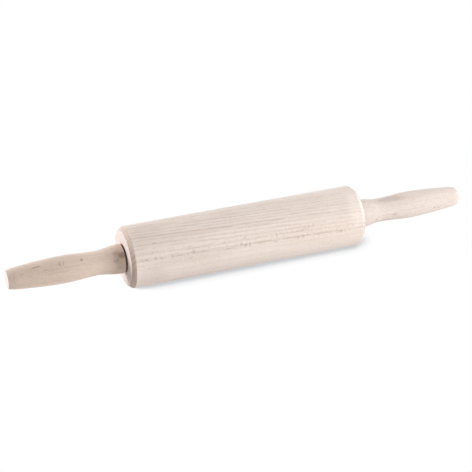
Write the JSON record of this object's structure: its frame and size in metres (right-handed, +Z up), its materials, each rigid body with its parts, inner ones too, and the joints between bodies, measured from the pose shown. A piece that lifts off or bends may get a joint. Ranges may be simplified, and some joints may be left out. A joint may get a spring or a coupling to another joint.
{
  "type": "rolling pin with handles",
  "caption": "Turned beech rolling pin: a straight roller with bevelled ends spins freely on a steel rod, which joins a waisted and swelling grip at either end.",
  "frame": {"origin": "on the surface it lies on, below the middle of the barrel", "axes": "+X along the pin from the left handle to the right one, +Z up, +Y away from the side in the picture"},
  "size_m": [0.4656, 0.06, 0.0599],
  "materials": {
    "barrel_beech": "fine-sanded bare beech, pale and slightly pink, straight grain with short flecks",
    "handle_beech": "fine-sanded bare beech, a little warmer than the barrel",
    "rod_steel": "drawn bright bar",
    "bush_nylon": "natural nylon",
    "washer_steel": "punched plain steel",
    "insert_brass": "turned brass"
  },
  "bodies": {
    "barrel": {"barrel": "barrel_beech", "left_bush": "bush_nylon", "right_bush": "bush_nylon"},
    "handle_set": {"axle_rod": "rod_steel", "left_thrust_washer": "washer_steel", "right_thrust_washer": "washer_steel", "left_handle": "handle_beech", "right_handle": "handle_beech", "left_handle_insert": "insert_brass", "right_handle_insert": "insert_brass"}
  },
  "joints": [
    {"name": "handle_spin", "type": "hinge", "parent": "barrel", "child": "handle_set", "pos_m": [0, 0, 0.02997], "axis": [1, 0, 0], "continuous": true}
  ]
}
